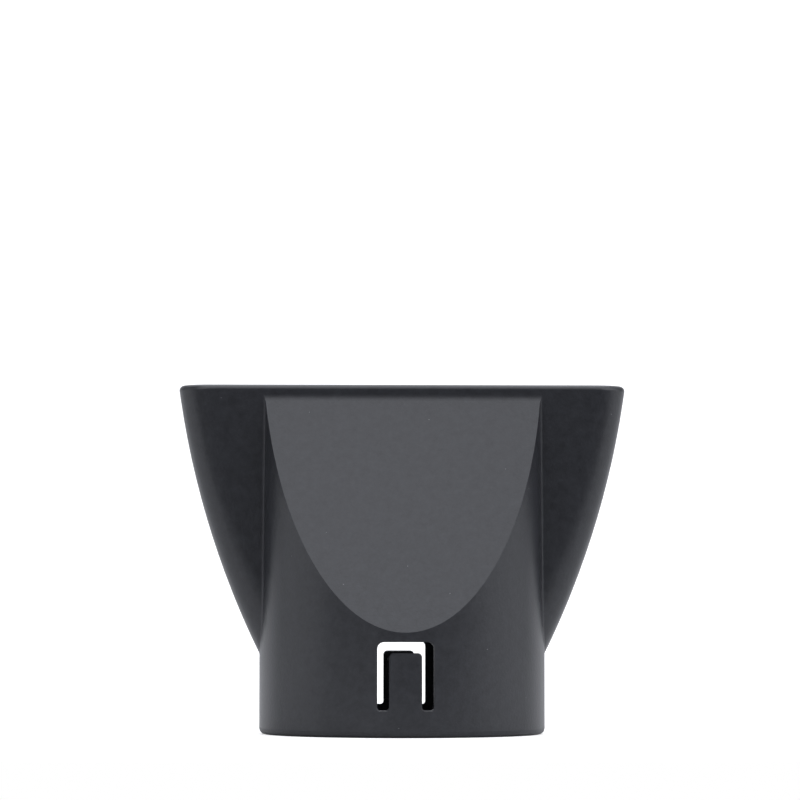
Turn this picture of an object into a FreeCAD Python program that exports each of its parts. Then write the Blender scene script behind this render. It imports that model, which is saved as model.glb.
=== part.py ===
import FreeCAD, Part
import math
import os

# Concentrator nozzle for a hair dryer: one hollow moulding that runs from a round collar to a wide slit.
# Frame: origin at the centre of the collar's lower rim, +Z up to the mouth, X along the mouth's width.
# The front, with one of the two spring tabs, faces -Y, and the back is the same.

# Driving dimensions, millimetres and degrees
# Collar that slips over the dryer's outlet
collar_outer_radius = 24.0
collar_height = 12.5
collar_wall = 1.6
socket_depth = 16.0
stop_ledge_height = 1.5
rim_round = 1.0
rim_flats = 3
rim_lead_in = 0.35

# Duct above the collar: a barrel that tapers by its draft, cut by oblique flats at the front and the back
overall_height = 58.5
barrel_draft = 0.5
duct_wall = 2.0
flat_foot_height = 17.0
mouth_depth = 10.4
lip_band_height = 2.2
lip_band_fillet = 2.5

# Wings that fan out to the mouth, each edge one long arc from the collar to the lip
mouth_width = 75.4
wing_root_height = 13.5
wing_edge_arc_radius = 145.0
wing_crease_fillet = 0.5
lip_outer_fillet = 0.8
lip_inner_chamfer = 0.4

# Spring tabs, each freed by a U-shaped slot, hinged at its lower end and bent a little inwards
slot_width = 9.2
slot_bottom_height = 4.5
slot_top_height = 15.55
slot_corner_radius = 1.1
leg_end_radius = 0.5
tab_width = 5.36
tab_tip_height = 13.8
tab_corner_radius = 0.7
tab_thickness = 1.2
tab_bend = 5.0
slot_edge_chamfer = 0.2

# Detent rib across the inside of each tab
detent_height = 11.6
detent_width = 2.4
detent_proud = 0.2
detent_side_margin = 0.7

# How far a cutting shape runs past the face that it cuts
overrun = 5.0

# Turn that carries a wing's section well past both its ends
wing_sweep = 60.0

# Largest difference between sizes that are taken as equal
match = 1e-4

ORIGIN = FreeCAD.Vector(0, 0, 0)
X_AXIS = FreeCAD.Vector(1, 0, 0)
Y_AXIS = FreeCAD.Vector(0, 1, 0)
Z_AXIS = FreeCAD.Vector(0, 0, 1)

socket_radius = collar_outer_radius - collar_wall
slot_leg_width = (slot_width - tab_width) / 2
hinge_height = slot_bottom_height + slot_leg_width / 2


def point(x, y, z):
    return FreeCAD.Vector(x, y, z)


def box(low, high):
    """Box between two opposite corners."""
    size = point(*high) - point(*low)
    return Part.makeBox(size.x, size.y, size.z, point(*low))


def turned(profile):
    """Solid of revolution about the collar's axis, its seam away from the tabs and the wings."""
    corners = [point(radius, 0, height) for radius, height in profile]
    made = Part.Face(Part.makePolygon(corners + corners[:1])).revolve(ORIGIN, Z_AXIS, 360)
    made.rotate(ORIGIN, Z_AXIS, 45)
    return made


def cylinder(radius, low, high):
    return turned([(0, low), (radius, low), (radius, high), (0, high)])


def barrel(inset, top):
    """Straight collar with a rim rounded in a few flats, and the tapered barrel on it."""
    radius = collar_outer_radius - inset
    top_radius = radius - (top - collar_height) * math.tan(math.radians(barrel_draft))
    steps = [math.pi / 2 * step / rim_flats for step in range(rim_flats + 1)]
    inner = radius - rim_round
    rim = [(inner + rim_round * math.sin(step), rim_round * (1 - math.cos(step))) for step in steps]
    return turned([(0, 0)] + rim + [(radius, collar_height), (top_radius, top), (0, top)])


def rounded_outline(corners):
    """Closed wire through (corner, radius) pairs, with an arc of that radius at each corner."""
    trims = []
    for i, (corner, radius) in enumerate(corners):
        to_before = (corners[i - 1][0] - corner).normalize()
        to_after = (corners[(i + 1) % len(corners)][0] - corner).normalize()
        half_angle = to_before.getAngle(to_after) / 2
        reach = radius / math.tan(half_angle)
        to_middle = (to_before + to_after).normalize()
        middle = corner + to_middle * (radius / math.sin(half_angle) - radius)
        trims.append((corner + to_before * reach, middle, corner + to_after * reach, radius))
    edges = []
    for i, (start, middle, end, radius) in enumerate(trims):
        if radius > 0:
            edges.append(Part.Arc(start, middle, end).toShape())
        edges.append(Part.LineSegment(end, trims[(i + 1) % len(trims)][0]).toShape())
    return Part.Wire(edges)


def surface_kind(face):
    return type(face.Surface).__name__


def is_taper(face):
    return surface_kind(face) == "Cone"


def is_wing_skin(face):
    if surface_kind(face) == "Plane":
        return abs(face.Surface.Axis.y) > 1 - match
    return surface_kind(face) == "Toroid"


def edges_between(body, is_first, is_second):
    """Edges where a face that passes the first test meets one that passes the second."""
    found = []
    for edge in body.Edges:
        faces = body.ancestorsOfType(edge, Part.Face)
        if len(faces) == 2:
            one, other = faces
            if (is_first(one) and is_second(other)) or (is_first(other) and is_second(one)):
                found.append(edge)
    return found


def ring_face(body, height):
    """The level face at a height that runs right round an opening."""
    level = [face for face in body.Faces if face.BoundBox.ZLength < match]
    return min(level, key=lambda face: abs(face.BoundBox.ZMin - height))


def outer_edges(ring):
    return ring.OuterWire.Edges


def inner_edges(ring):
    return [edge for wire in ring.Wires if not wire.isSame(ring.OuterWire) for edge in wire.Edges]


def wing_arc_centre():
    """Centre (x, z) of the right wing's edge arc, from the collar's side up to the mouth's end."""
    run_x = mouth_width / 2 - collar_outer_radius
    run_z = overall_height - wing_root_height
    chord = math.hypot(run_x, run_z)
    inward = math.sqrt(wing_edge_arc_radius**2 - (chord / 2) ** 2) / chord
    centre_x = collar_outer_radius + run_x / 2 - run_z * inward
    centre_z = wing_root_height + run_z / 2 + run_x * inward
    return centre_x, centre_z


def right_wing(inset, floor, top):
    """Flat blade with a full-round edge, its section swept about the edge arc's centre."""
    centre_x, centre_z = wing_arc_centre()
    half_depth = mouth_depth / 2 - inset
    tip_x = centre_x + wing_edge_arc_radius - inset
    far_x = tip_x - half_depth
    near_front = point(0, -half_depth, centre_z)
    far_front = point(far_x, -half_depth, centre_z)
    far_back = point(far_x, half_depth, centre_z)
    near_back = point(0, half_depth, centre_z)
    section = Part.Wire(
        [
            Part.LineSegment(near_front, far_front).toShape(),
            Part.Arc(far_front, point(tip_x, 0, centre_z), far_back).toShape(),
            Part.LineSegment(far_back, near_back).toShape(),
            Part.LineSegment(near_back, near_front).toShape(),
        ]
    )
    blade = Part.Face(section).revolve(point(centre_x, 0, centre_z), Y_AXIS, wing_sweep)
    return blade.common(box((0, -mouth_depth, floor), (mouth_width, mouth_depth, top)))


def depth_wedge(inset, top):
    """All that lies between the two oblique flats, which turn upright at the lip band."""
    band_height = overall_height - lip_band_height
    half_mouth = mouth_depth / 2
    slope = math.atan2(collar_outer_radius - half_mouth, band_height - flat_foot_height)
    corner_y = half_mouth - inset
    corner_z = band_height - inset * math.tan(slope / 2)
    side_y = collar_outer_radius + overrun
    foot_z = corner_z - (side_y - corner_y) / math.tan(slope)
    back = [
        (point(-mouth_width, side_y, -overrun), 0),
        (point(-mouth_width, side_y, foot_z), 0),
        (point(-mouth_width, corner_y, corner_z), lip_band_fillet + inset),
        (point(-mouth_width, corner_y, top + overrun), 0),
    ]
    front = [(point(corner.x, -corner.y, corner.z), radius) for corner, radius in reversed(back)]
    return Part.Face(rounded_outline(back + front)).extrude(point(2 * mouth_width, 0, 0))


def finned_barrel(inset, floor, top):
    """Barrel with both wings, everywhere set in from the outer skin by the same wall."""
    right = right_wing(inset, floor, top)
    left = right.mirror(ORIGIN, X_AXIS)
    return barrel(inset, top).fuse([right, left]).removeSplitter()


def outer_skin():
    """Outside of the nozzle: the finned barrel with soft creases, cut by the two flats."""
    skin = finned_barrel(0, rim_round, overall_height)
    skin = skin.makeFillet(wing_crease_fillet, edges_between(skin, is_taper, is_wing_skin))
    return skin.common(depth_wedge(0, overall_height)).removeSplitter()


def air_space():
    """Socket for the dryer's outlet, then the duct above the stop ledge, through to the mouth."""
    top = overall_height + overrun
    socket = cylinder(socket_radius, -overrun, socket_depth)
    duct = finned_barrel(duct_wall, socket_depth + stop_ledge_height, top)
    return socket.fuse(duct.common(depth_wedge(duct_wall, top))).removeSplitter()


def finish_rims(body):
    """Rounds the lip's outer edge and breaks the others at the two open ends."""
    body = body.makeFillet(lip_outer_fillet, outer_edges(ring_face(body, overall_height)))
    body = body.makeChamfer(lip_inner_chamfer, inner_edges(ring_face(body, overall_height)))
    return body.makeChamfer(rim_lead_in, inner_edges(ring_face(body, 0)))


def front_window():
    """Cutter for the U-shaped slot at the front, with the wall that the tab takes the place of."""
    near_y = -collar_outer_radius - overrun
    through = point(0, 2 * overrun, 0)
    half_slot = slot_width / 2
    half_tab = tab_width / 2
    right = [
        (point(half_slot, near_y, slot_top_height), slot_corner_radius),
        (point(half_slot, near_y, slot_bottom_height), leg_end_radius),
        (point(half_tab, near_y, slot_bottom_height), leg_end_radius),
        (point(half_tab, near_y, hinge_height), 0),
    ]
    left = [(point(-corner.x, corner.y, corner.z), radius) for corner, radius in reversed(right)]
    return Part.Face(rounded_outline(right + left)).extrude(through)


def at_hinge(radius, x):
    """Point at the hinge's height, in front, on a circle about the collar's axis."""
    return point(x, -math.sqrt(radius**2 - x**2), hinge_height)


def front_tab():
    """Curved plate bent inwards from the wall, with a half-round rib across its inside."""
    half_tab = tab_width / 2
    inner_radius = collar_outer_radius - tab_thickness
    bend = math.radians(tab_bend)
    bend_radius = (tab_tip_height - hinge_height) / math.sin(bend)
    bend_y = bend_radius - collar_outer_radius

    outer_left = at_hinge(collar_outer_radius, -half_tab)
    outer_right = at_hinge(collar_outer_radius, half_tab)
    inner_left = at_hinge(inner_radius, -half_tab)
    inner_right = at_hinge(inner_radius, half_tab)
    section = Part.Wire(
        [
            Part.Arc(outer_left, at_hinge(collar_outer_radius, 0), outer_right).toShape(),
            Part.LineSegment(outer_right, inner_right).toShape(),
            Part.Arc(inner_right, at_hinge(inner_radius, 0), inner_left).toShape(),
            Part.LineSegment(inner_left, outer_left).toShape(),
        ]
    )
    plate = Part.Face(section).revolve(point(0, bend_y, hinge_height), X_AXIS, -tab_bend)
    middle_height = (hinge_height + tab_tip_height) / 2
    near_tip = [edge for edge in plate.Edges if edge.BoundBox.ZMin > middle_height]
    tip_corners = [edge for edge in near_tip if edge.BoundBox.XLength < match]
    plate = plate.makeFillet(tab_corner_radius, tip_corners)

    middle_radius = bend_radius - tab_thickness / 2
    base_y = bend_y - math.sqrt(middle_radius**2 - (detent_height - hinge_height) ** 2)
    crest_y = detent_proud - socket_radius
    rib_x = detent_side_margin - half_tab
    rib_low = point(rib_x, base_y, detent_height - detent_width / 2)
    rib_high = point(rib_x, base_y, detent_height + detent_width / 2)
    rib_outline = Part.Wire(
        [
            Part.Arc(rib_low, point(rib_x, crest_y, detent_height), rib_high).toShape(),
            Part.LineSegment(rib_high, rib_low).toShape(),
        ]
    )
    rib = Part.Face(rib_outline).extrude(point(-2 * rib_x, 0, 0))
    return plate.fuse(rib).removeSplitter()


def is_outside(face):
    """Outer face of the collar, the barrel or a tab."""
    if surface_kind(face) == "Cylinder":
        return abs(face.Surface.Radius - collar_outer_radius) < match
    if surface_kind(face) == "Toroid":
        return abs(face.Surface.MinorRadius - collar_outer_radius) < match
    return is_taper(face)


def is_slot_wall(face):
    """Face that lies wholly within the slot's outline, seen from the front."""
    bounds = face.BoundBox
    across = max(abs(bounds.XMin), abs(bounds.XMax)) < slot_width / 2 + match
    upright = bounds.ZMin > slot_bottom_height - match and bounds.ZMax < slot_top_height + match
    return across and upright and not is_outside(face)


def nozzle_body():
    body = finish_rims(outer_skin().cut(air_space()))
    for turn in (0, 180):
        window = front_window()
        tab = front_tab()
        window.rotate(ORIGIN, Z_AXIS, turn)
        tab.rotate(ORIGIN, Z_AXIS, turn)
        body = body.cut(window).fuse(tab).removeSplitter()
    return body.makeChamfer(slot_edge_chamfer, edges_between(body, is_outside, is_slot_wall))


os.makedirs("parts", exist_ok=True)
body = nozzle_body()
body.exportStep("parts/nozzle_body.step")
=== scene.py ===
"""Look of the hair dryer concentrator nozzle: a dark satin moulding on a pale studio sweep."""

import math

import bpy
import numpy as np
from mathutils import Euler, Matrix

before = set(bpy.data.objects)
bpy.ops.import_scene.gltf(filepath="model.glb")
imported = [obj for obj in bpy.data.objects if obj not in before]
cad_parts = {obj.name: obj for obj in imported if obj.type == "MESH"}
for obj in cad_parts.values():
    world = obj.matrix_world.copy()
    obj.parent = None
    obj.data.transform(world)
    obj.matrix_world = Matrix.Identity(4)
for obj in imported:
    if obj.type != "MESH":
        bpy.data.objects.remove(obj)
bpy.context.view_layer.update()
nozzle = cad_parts["nozzle_body"]

MM = 0.001
WHITE = (1, 1, 1, 1)

# Camera at the photograph's place: distance from the collar's axis, height above the floor, angles in degrees,
# the nearest and farthest that it sees, and its focal length in sensor widths
CAMERA_DISTANCE = 650 * MM
CAMERA_HEIGHT = 20.3 * MM
CAMERA_TURN = -1.443
CAMERA_PAN = 0.033
CAMERA_TILT = 3.1615
CAMERA_ROLL = 0.05
CAMERA_NEAR = 0.01
CAMERA_FAR = 20
FOCAL_SHARE = 4.8170
SENSOR_WIDTH = 36.0

# Pale paper sweep in metres: the nozzle stands near its front edge, and its glow is for the camera alone
SWEEP_HALF_WIDTH = 3.0
SWEEP_FRONT = 0.12
SWEEP_BACK = 1.6
SWEEP_RADIUS = 0.5
SWEEP_WALL = 1.6
SWEEP_STEPS = 24
SWEEP_COLOUR = (0.62, 0.62, 0.62, 1)
SWEEP_ROUGHNESS = 0.9
SWEEP_SHINE = 0.0
SWEEP_GLOW = 0.55

# Soft studio panels: turn from the camera's side towards +X, height, both in degrees, and level
PANELS = {
    "left_side": (-90, 6, 0.85),
    "left_front": (-60, 6, 0.22),
    "left_high": (-30, 34, 1.56),
    "right_side": (90, 6, 1.03),
    "right_high": (60, 34, 1.98),
    "right_front_high": (30, 34, 0.59),
    "front_low": (0, 12, 0.05),
    "front_high": (0, 62, 1.45),
    "overhead": (0, 90, 1.8),
    "left_back_high": (-130, 55, 1.0),
    "right_back_high": (130, 55, 1.0),
    "back_high": (180, 62, 1.6),
}

# Each panel is full within its core and fades to nothing at its edge, in degrees from its middle
PANEL_EDGE = 34
PANEL_CORE = 4
PANEL_COLOUR = (0.966, 0.985, 1.042, 1)

# Moulded plastic: darkest and palest tone of the mottle, gloss of the grained outside and of the polished inside
PLASTIC_COLOUR = (0.0088, 0.0092, 0.0107, 1)
PLASTIC_PALE = (0.0327, 0.0341, 0.0398, 1)
OUTSIDE_ROUGHNESS = 0.33
INSIDE_ROUGHNESS = 0.26
MOTTLE_ROUGHNESS = 0.08
MOTTLE_MIDDLE = 0.5
MOTTLE_SIZE = 1.6 * MM
MOTTLE_OCTAVES = 3
MOTTLE_FINENESS = 0.9
GRAIN_SIZE = 0.45 * MM
GRAIN_OCTAVES = 2
GRAIN_FINENESS = 0.5
GRAIN_DEPTH = 0.02 * MM

# Marks of the mould: fine lines drawn along Z on the inside, and the parting line down both sides
DRAW_LINE_SIZE = 0.4 * MM
DRAW_LINE_OCTAVES = 2
DRAW_LINE_STRETCH = 0.04
DRAW_LINE_DEPTH = 0.003 * MM
SIDE_BLEND = 0.2 * MM
SEAM_HALF_WIDTH = 0.12 * MM
SEAM_HEIGHT = 0.045 * MM
SEAM_FACING_FROM = 0.75
SEAM_FACING_TO = 0.92

# Dust: cell that holds one speck at most, and a speck's radius in it
DUST_CELL = 2.5 * MM
DUST_RADIUS = 0.08 * MM
DUST_COLOUR = (0.40, 0.40, 0.42, 1)
DUST_ROUGHNESS = 0.8


def surface_object(name, points):
    """Mesh object from a grid of points of shape (rows, columns, 3), with quads between neighbours."""
    rows, columns, _ = points.shape
    index = np.arange(rows * columns).reshape(rows, columns)
    corners = [index[:-1, :-1], index[:-1, 1:], index[1:, 1:], index[1:, :-1]]
    quads = np.stack(corners, axis=-1).reshape(-1, 4)
    mesh = bpy.data.meshes.new(name)
    mesh.from_pydata(points.reshape(-1, 3).tolist(), [], quads.tolist())
    mesh.polygons.foreach_set("use_smooth", np.ones(len(quads), dtype=bool))
    made = bpy.data.objects.new(name, mesh)
    bpy.context.scene.collection.objects.link(made)
    return made


def new_group(name, inputs, outputs):
    """Empty shader group with named inputs and outputs, each a (name, socket type) pair."""
    group = bpy.data.node_groups.new(name, "ShaderNodeTree")
    for label, kind in inputs:
        group.interface.new_socket(label, in_out="INPUT", socket_type=kind)
    for label, kind in outputs:
        group.interface.new_socket(label, in_out="OUTPUT", socket_type=kind)
    return group, group.nodes.new("NodeGroupInput"), group.nodes.new("NodeGroupOutput")


def placed_group(tree, group, place):
    """Group node in a material, with its place input wired."""
    made = tree.nodes.new("ShaderNodeGroup")
    made.node_tree = group
    tree.links.new(place, made.inputs["Place"])
    return made


def set_or_link(tree, socket, value):
    """Wires an output to a socket, or writes a plain value into it."""
    if isinstance(value, bpy.types.NodeSocket):
        tree.links.new(value, socket)
    else:
        socket.default_value = value


def math_node(tree, operation, first, second=0.0):
    """Result of one operation on two values."""
    made = tree.nodes.new("ShaderNodeMath")
    made.operation = operation
    set_or_link(tree, made.inputs[0], first)
    set_or_link(tree, made.inputs[1], second)
    return made.outputs["Value"]


def vector_node(tree, operation, first, second):
    """Node for one operation on two vectors."""
    made = tree.nodes.new("ShaderNodeVectorMath")
    made.operation = operation
    set_or_link(tree, made.inputs[0], first)
    set_or_link(tree, made.inputs[1], second)
    return made


def split_vector(tree, vector):
    """The X, Y and Z of a vector, by name."""
    made = tree.nodes.new("ShaderNodeSeparateXYZ")
    tree.links.new(vector, made.inputs["Vector"])
    return made.outputs


def smooth_step(tree, value, low, high, top=1.0):
    """Smooth rise from 0 at low to top at high."""
    made = tree.nodes.new("ShaderNodeMapRange")
    made.interpolation_type = "SMOOTHSTEP"
    tree.links.new(value, made.inputs["Value"])
    set_or_link(tree, made.inputs["From Min"], low)
    set_or_link(tree, made.inputs["From Max"], high)
    made.inputs["To Max"].default_value = top
    return made.outputs["Result"]


def noise_node(tree, place, octaves):
    """Noise texture at a place, with finer octaves added."""
    made = tree.nodes.new("ShaderNodeTexNoise")
    made.inputs["Detail"].default_value = octaves
    tree.links.new(place, made.inputs["Vector"])
    return made


def mix_node(tree, data_type, ending, factor, first, second):
    """Mix of two inputs by a wired factor. The ending names the sockets of the data type, as in A_Color."""
    made = tree.nodes.new("ShaderNodeMix")
    made.data_type = data_type
    inputs = {socket.identifier: socket for socket in made.inputs}
    outputs = {socket.identifier: socket for socket in made.outputs}
    tree.links.new(factor, inputs["Factor_Float"])
    set_or_link(tree, inputs["A_" + ending], first)
    set_or_link(tree, inputs["B_" + ending], second)
    return outputs["Result_" + ending]


def mix_colour(tree, factor, first, second):
    """Colour from first, at factor 0, to second, at factor 1."""
    return mix_node(tree, "RGBA", "Color", factor, first, second)


def mix_value(tree, factor, first, second):
    """Value from first, at factor 0, to second, at factor 1."""
    return mix_node(tree, "FLOAT", "Float", factor, first, second)


def new_material(name):
    """Material with an empty node tree and a Principled shader wired to its output."""
    material = bpy.data.materials.new(name)
    material.use_nodes = True
    tree = material.node_tree
    tree.nodes.clear()
    output = tree.nodes.new("ShaderNodeOutputMaterial")
    shader = tree.nodes.new("ShaderNodeBsdfPrincipled")
    tree.links.new(shader.outputs["BSDF"], output.inputs["Surface"])
    return material, tree, shader


def sweep_surface():
    """Floor and backdrop in one sheet: a profile of floor, quarter arc and wall carried straight along X."""
    turn = np.linspace(0, math.pi / 2, SWEEP_STEPS)
    arc_y = SWEEP_BACK + SWEEP_RADIUS * np.sin(turn)
    arc_z = SWEEP_RADIUS * (1 - np.cos(turn))
    profile_y = np.concatenate([[-SWEEP_FRONT], arc_y, [SWEEP_BACK + SWEEP_RADIUS]])
    profile_z = np.concatenate([[0], arc_z, [SWEEP_WALL]])
    ends_x = np.array([SWEEP_HALF_WIDTH, -SWEEP_HALF_WIDTH])
    points = np.empty((len(ends_x), len(profile_y), 3))
    points[..., 0] = ends_x[:, None]
    points[..., 1] = profile_y[None, :]
    points[..., 2] = profile_z[None, :]
    return surface_object("studio_sweep", points)


def sweep_material():
    """Pale paper that keeps the shadow, with a glow for camera rays alone that takes it up to white."""
    material, tree, shader = new_material("white_sweep")
    shader.inputs["Base Color"].default_value = SWEEP_COLOUR
    shader.inputs["Roughness"].default_value = SWEEP_ROUGHNESS
    shader.inputs["Specular IOR Level"].default_value = SWEEP_SHINE
    shader.inputs["Emission Color"].default_value = WHITE
    path = tree.nodes.new("ShaderNodeLightPath")
    glow = math_node(tree, "MULTIPLY", path.outputs["Is Camera Ray"], SWEEP_GLOW)
    tree.links.new(glow, shader.inputs["Emission Strength"])
    return material


def grain_group():
    """Spark-eroded mould texture: fine noise for the height, and broader noise for the mottle."""
    group, inside, outside = new_group(
        "spark_grain",
        [
            ("Place", "NodeSocketVector"),
            ("Grain Scale", "NodeSocketFloat"),
            ("Mottle Scale", "NodeSocketFloat"),
        ],
        [("Grain", "NodeSocketFloat"), ("Mottle", "NodeSocketFloat")],
    )
    for scale, octaves, fineness, result in (
        ("Grain Scale", GRAIN_OCTAVES, GRAIN_FINENESS, "Grain"),
        ("Mottle Scale", MOTTLE_OCTAVES, MOTTLE_FINENESS, "Mottle"),
    ):
        noise = noise_node(group, inside.outputs["Place"], octaves)
        noise.inputs["Roughness"].default_value = fineness
        group.links.new(inside.outputs[scale], noise.inputs["Scale"])
        group.links.new(noise.outputs["Fac"], outside.inputs[result])
    return group


def mould_group():
    """Marks of the mould, from the place on the part and the way the surface faces.

    Outside is 1 where the surface faces away from the collar's axis. Seam is 1 on the parting plane y = 0,
    on outside faces that look along X. Draw is noise stretched along Z, the way the core was drawn out.
    """
    group, inside, outside = new_group(
        "mould_marks",
        [("Place", "NodeSocketVector"), ("Facing", "NodeSocketVector")],
        [("Outside", "NodeSocketFloat"), ("Seam", "NodeSocketFloat"), ("Draw", "NodeSocketFloat")],
    )
    place = inside.outputs["Place"]
    facing = inside.outputs["Facing"]

    radial = vector_node(group, "MULTIPLY", place, (1, 1, 0)).outputs["Vector"]
    away = vector_node(group, "DOT_PRODUCT", radial, facing).outputs["Value"]
    outer = smooth_step(group, away, -SIDE_BLEND, SIDE_BLEND)
    group.links.new(outer, outside.inputs["Outside"])

    off_plane = math_node(group, "ABSOLUTE", split_vector(group, place)["Y"])
    line = math_node(group, "SUBTRACT", 1.0, smooth_step(group, off_plane, 0, SEAM_HALF_WIDTH))
    sideways = math_node(group, "ABSOLUTE", split_vector(group, facing)["X"])
    side = smooth_step(group, sideways, SEAM_FACING_FROM, SEAM_FACING_TO)
    seam = math_node(group, "MULTIPLY", math_node(group, "MULTIPLY", line, side), outer)
    group.links.new(seam, outside.inputs["Seam"])

    drawn = vector_node(group, "MULTIPLY", place, (1, 1, DRAW_LINE_STRETCH)).outputs["Vector"]
    noise = noise_node(group, drawn, DRAW_LINE_OCTAVES)
    noise.inputs["Scale"].default_value = 1 / DRAW_LINE_SIZE
    group.links.new(noise.outputs["Fac"], outside.inputs["Draw"])
    return group


def dust_group():
    """Sparse specks: small balls at the middle points of random cells, seen where they meet the surface."""
    group, inside, outside = new_group(
        "dust_specks",
        [
            ("Place", "NodeSocketVector"),
            ("Cell Scale", "NodeSocketFloat"),
            ("Radius", "NodeSocketFloat"),
        ],
        [("Mask", "NodeSocketFloat")],
    )
    cells = group.nodes.new("ShaderNodeTexVoronoi")
    group.links.new(inside.outputs["Place"], cells.inputs["Vector"])
    group.links.new(inside.outputs["Cell Scale"], cells.inputs["Scale"])
    near = smooth_step(group, cells.outputs["Distance"], 0, inside.outputs["Radius"])
    group.links.new(math_node(group, "SUBTRACT", 1.0, near), outside.inputs["Mask"])
    return group


def plastic_material():
    """Dark satin plastic: fine moulded grain outside, draw lines inside, mottle, parting line and dust."""
    material, tree, shader = new_material("moulded_plastic")
    place = tree.nodes.new("ShaderNodeTexCoord").outputs["Object"]
    facing = tree.nodes.new("ShaderNodeNewGeometry").outputs["Normal"]
    grain = placed_group(tree, grain_group(), place)
    grain.inputs["Grain Scale"].default_value = 1 / GRAIN_SIZE
    grain.inputs["Mottle Scale"].default_value = 1 / MOTTLE_SIZE
    mould = placed_group(tree, mould_group(), place)
    tree.links.new(facing, mould.inputs["Facing"])
    dust = placed_group(tree, dust_group(), place)
    dust.inputs["Cell Scale"].default_value = 1 / DUST_CELL
    dust.inputs["Radius"].default_value = DUST_RADIUS / DUST_CELL

    tone = mix_colour(tree, grain.outputs["Mottle"], PLASTIC_COLOUR, PLASTIC_PALE)
    dusty = mix_colour(tree, dust.outputs["Mask"], tone, DUST_COLOUR)
    tree.links.new(dusty, shader.inputs["Base Color"])

    gloss = mix_value(tree, mould.outputs["Outside"], INSIDE_ROUGHNESS, OUTSIDE_ROUGHNESS)
    cloud = math_node(tree, "SUBTRACT", grain.outputs["Mottle"], MOTTLE_MIDDLE)
    clouded = math_node(tree, "ADD", gloss, math_node(tree, "MULTIPLY", cloud, MOTTLE_ROUGHNESS))
    dulled = mix_value(tree, dust.outputs["Mask"], clouded, DUST_ROUGHNESS)
    tree.links.new(dulled, shader.inputs["Roughness"])

    outer_height = math_node(tree, "MULTIPLY", grain.outputs["Grain"], GRAIN_DEPTH)
    inner_height = math_node(tree, "MULTIPLY", mould.outputs["Draw"], DRAW_LINE_DEPTH)
    texture = mix_value(tree, mould.outputs["Outside"], inner_height, outer_height)
    seam = math_node(tree, "MULTIPLY", mould.outputs["Seam"], SEAM_HEIGHT)
    bump = tree.nodes.new("ShaderNodeBump")
    # Heights are in metres already
    bump.inputs["Distance"].default_value = 1.0
    tree.links.new(math_node(tree, "ADD", texture, seam), bump.inputs["Height"])
    tree.links.new(bump.outputs["Normal"], shader.inputs["Normal"])
    return material


def panel_direction(turn, height):
    """Unit vector to a panel: from -Y round towards +X by its turn, and up by its height."""
    turn, height = math.radians(turn), math.radians(height)
    flat = math.cos(height)
    return (flat * math.sin(turn), -flat * math.cos(turn), math.sin(height))


def studio_world():
    """Soft panels as smooth round lobes of direction, added up; the camera itself sees plain white."""
    world = bpy.data.worlds.new("studio")
    world.use_nodes = True
    tree = world.node_tree
    tree.nodes.clear()
    direction = tree.nodes.new("ShaderNodeTexCoord").outputs["Generated"]
    edge = math.cos(math.radians(PANEL_EDGE))
    core = math.cos(math.radians(PANEL_CORE))
    total = 0.0
    for turn, height, level in PANELS.values():
        towards = vector_node(tree, "DOT_PRODUCT", direction, panel_direction(turn, height))
        lobe = smooth_step(tree, towards.outputs["Value"], edge, core, level)
        total = math_node(tree, "ADD", total, lobe)
    lit = tree.nodes.new("ShaderNodeBackground")
    lit.inputs["Color"].default_value = PANEL_COLOUR
    tree.links.new(total, lit.inputs["Strength"])
    white = tree.nodes.new("ShaderNodeBackground")
    white.inputs["Color"].default_value = WHITE
    path = tree.nodes.new("ShaderNodeLightPath")
    seen = tree.nodes.new("ShaderNodeMixShader")
    tree.links.new(path.outputs["Is Camera Ray"], seen.inputs["Fac"])
    tree.links.new(lit.outputs["Background"], seen.inputs[1])
    tree.links.new(white.outputs["Background"], seen.inputs[2])
    output = tree.nodes.new("ShaderNodeOutputWorld")
    tree.links.new(seen.outputs["Shader"], output.inputs["Surface"])
    bpy.context.scene.world = world


def photo_camera():
    """Camera on a circle round the collar's axis, turned and tilted as in the photograph."""
    lens = bpy.data.cameras.new("photo_camera")
    lens.sensor_width = SENSOR_WIDTH
    lens.lens = SENSOR_WIDTH * FOCAL_SHARE
    lens.clip_start = CAMERA_NEAR
    lens.clip_end = CAMERA_FAR
    turn = math.radians(CAMERA_TURN)
    across, back = math.sin(turn) * CAMERA_DISTANCE, -math.cos(turn) * CAMERA_DISTANCE
    upright = math.radians(90 + CAMERA_TILT)
    aim = Euler((upright, 0, turn + math.radians(CAMERA_PAN))).to_matrix()
    roll = Matrix.Rotation(math.radians(CAMERA_ROLL), 3, "Z")
    made = bpy.data.objects.new("photo_camera", lens)
    made.location = (across, back, CAMERA_HEIGHT)
    made.rotation_euler = (aim @ roll).to_euler()
    bpy.context.scene.collection.objects.link(made)
    bpy.context.scene.camera = made


nozzle.data.materials.clear()
nozzle.data.materials.append(plastic_material())

sweep = sweep_surface()
sweep.data.materials.append(sweep_material())

studio_world()
photo_camera()
bpy.context.scene.view_settings.view_transform = "Standard"
